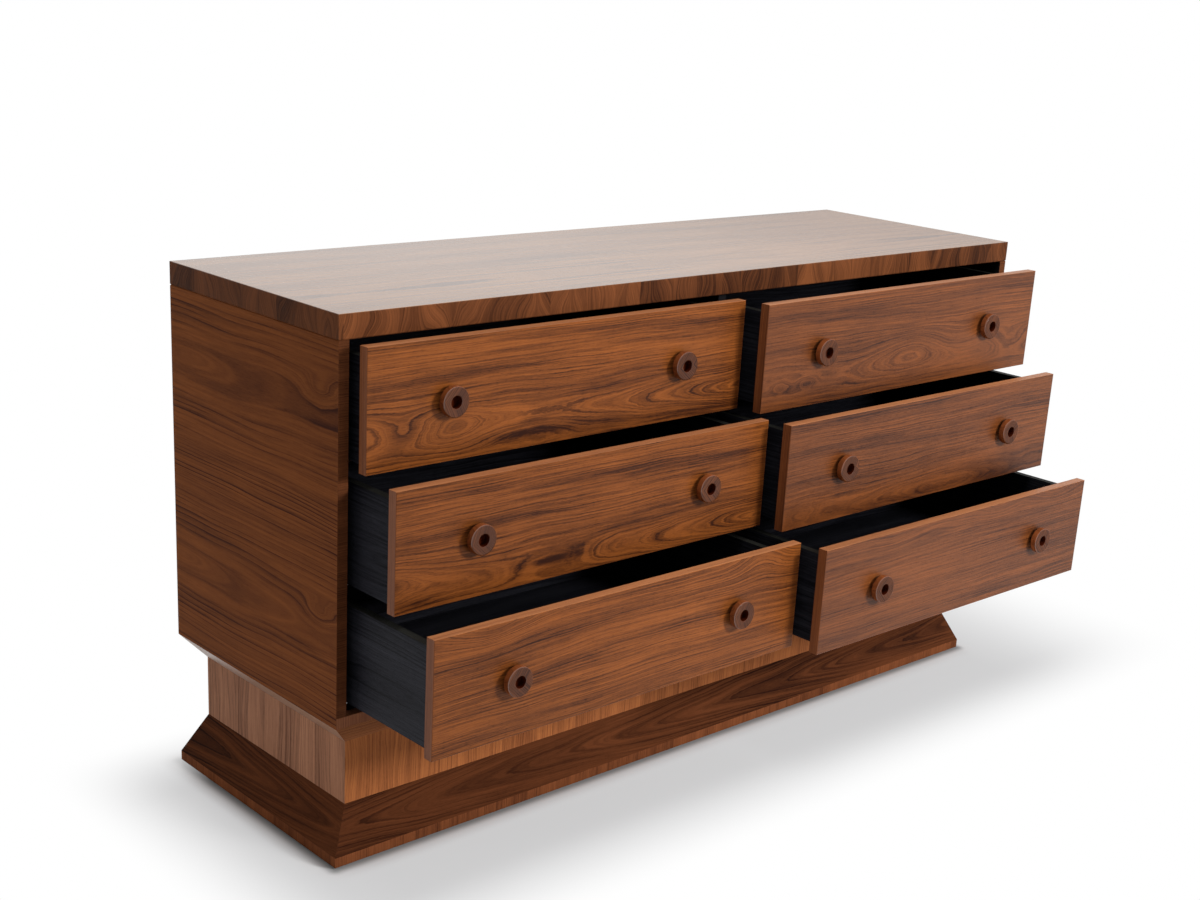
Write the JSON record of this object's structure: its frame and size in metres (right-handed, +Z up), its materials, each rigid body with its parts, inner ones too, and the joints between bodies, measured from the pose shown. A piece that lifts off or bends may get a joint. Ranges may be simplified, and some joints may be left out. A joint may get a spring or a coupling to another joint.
{
  "type": "dresser",
  "caption": "Wide walnut dresser with side-by-side stacks of drawers, ring knobs, black-stained drawer boxes on concealed runners, and a flared plinth.",
  "frame": {"origin": "centre of the case's footprint at floor level, on the underside of the middle floor glide", "axes": "+X along the width to the right as seen from the front, +Y from the front to the back, +Z up; the drawers open along -Y"},
  "size_m": [1.6, 0.7555, 0.876],
  "materials": {
    "case_walnut": "satin lacquered walnut veneer",
    "back_walnut": "matt lacquered walnut veneer",
    "plinth_walnut": "satin lacquered walnut",
    "skirt_walnut": "satin lacquered dark walnut",
    "front_walnut": "satin lacquered figured walnut",
    "knob_walnut": "turned and lacquered walnut",
    "black_ash": "open-pored black stain",
    "zinc_steel": "bright zinc plated sheet",
    "beech": "raw fluted dowel",
    "pine": "planed softwood",
    "glide_nylon": "moulded"
  },
  "bodies": {
    "carcass": {"top_panel": "case_walnut", "left_side_panel": "case_walnut", "right_side_panel": "case_walnut", "centre_partition": "case_walnut", "deck_panel": "case_walnut", "back_panel": "back_walnut", "screws": "zinc_steel", "dowels": "beech", "front_rail": "case_walnut", "bevel_front": "plinth_walnut", "bevel_back": "plinth_walnut", "bevel_left": "plinth_walnut", "bevel_right": "plinth_walnut", "neck_front": "plinth_walnut", "neck_back": "plinth_walnut", "neck_left": "plinth_walnut", "neck_right": "plinth_walnut", "skirt_front": "skirt_walnut", "skirt_back": "skirt_walnut", "skirt_left": "skirt_walnut", "skirt_right": "skirt_walnut", "plinth_supports": "pine", "floor_glides": "glide_nylon", "runner_rails": "zinc_steel"},
    "bottom_left_drawer": {"bottom_left_front": "front_walnut", "bottom_left_sides": "black_ash", "bottom_left_back": "black_ash", "bottom_left_bottom": "black_ash", "bottom_left_knobs": "knob_walnut", "bottom_left_runners": "zinc_steel"},
    "bottom_right_drawer": {"bottom_right_front": "front_walnut", "bottom_right_sides": "black_ash", "bottom_right_back": "black_ash", "bottom_right_bottom": "black_ash", "bottom_right_knobs": "knob_walnut", "bottom_right_runners": "zinc_steel"},
    "middle_left_drawer": {"middle_left_front": "front_walnut", "middle_left_sides": "black_ash", "middle_left_back": "black_ash", "middle_left_bottom": "black_ash", "middle_left_knobs": "knob_walnut", "middle_left_runners": "zinc_steel"},
    "middle_right_drawer": {"middle_right_front": "front_walnut", "middle_right_sides": "black_ash", "middle_right_back": "black_ash", "middle_right_bottom": "black_ash", "middle_right_knobs": "knob_walnut", "middle_right_runners": "zinc_steel"},
    "top_left_drawer": {"top_left_front": "front_walnut", "top_left_sides": "black_ash", "top_left_back": "black_ash", "top_left_bottom": "black_ash", "top_left_knobs": "knob_walnut", "top_left_runners": "zinc_steel"},
    "top_right_drawer": {"top_right_front": "front_walnut", "top_right_sides": "black_ash", "top_right_back": "black_ash", "top_right_bottom": "black_ash", "top_right_knobs": "knob_walnut", "top_right_runners": "zinc_steel"}
  },
  "joints": [
    {"name": "bottom_left_slide", "type": "slide", "parent": "carcass", "child": "bottom_left_drawer", "axis": [0, -1, 0], "range_m": [-0.2085, 0.0915]},
    {"name": "bottom_right_slide", "type": "slide", "parent": "carcass", "child": "bottom_right_drawer", "axis": [0, -1, 0], "range_m": [-0.262, 0.038]},
    {"name": "middle_left_slide", "type": "slide", "parent": "carcass", "child": "middle_left_drawer", "axis": [0, -1, 0], "range_m": [-0.1125, 0.1875]},
    {"name": "middle_right_slide", "type": "slide", "parent": "carcass", "child": "middle_right_drawer", "axis": [0, -1, 0], "range_m": [-0.1595, 0.1405]},
    {"name": "top_left_slide", "type": "slide", "parent": "carcass", "child": "top_left_drawer", "axis": [0, -1, 0], "range_m": [-0.038, 0.262]},
    {"name": "top_right_slide", "type": "slide", "parent": "carcass", "child": "top_right_drawer", "axis": [0, -1, 0], "range_m": [-0.0875, 0.2125]}
  ]
}
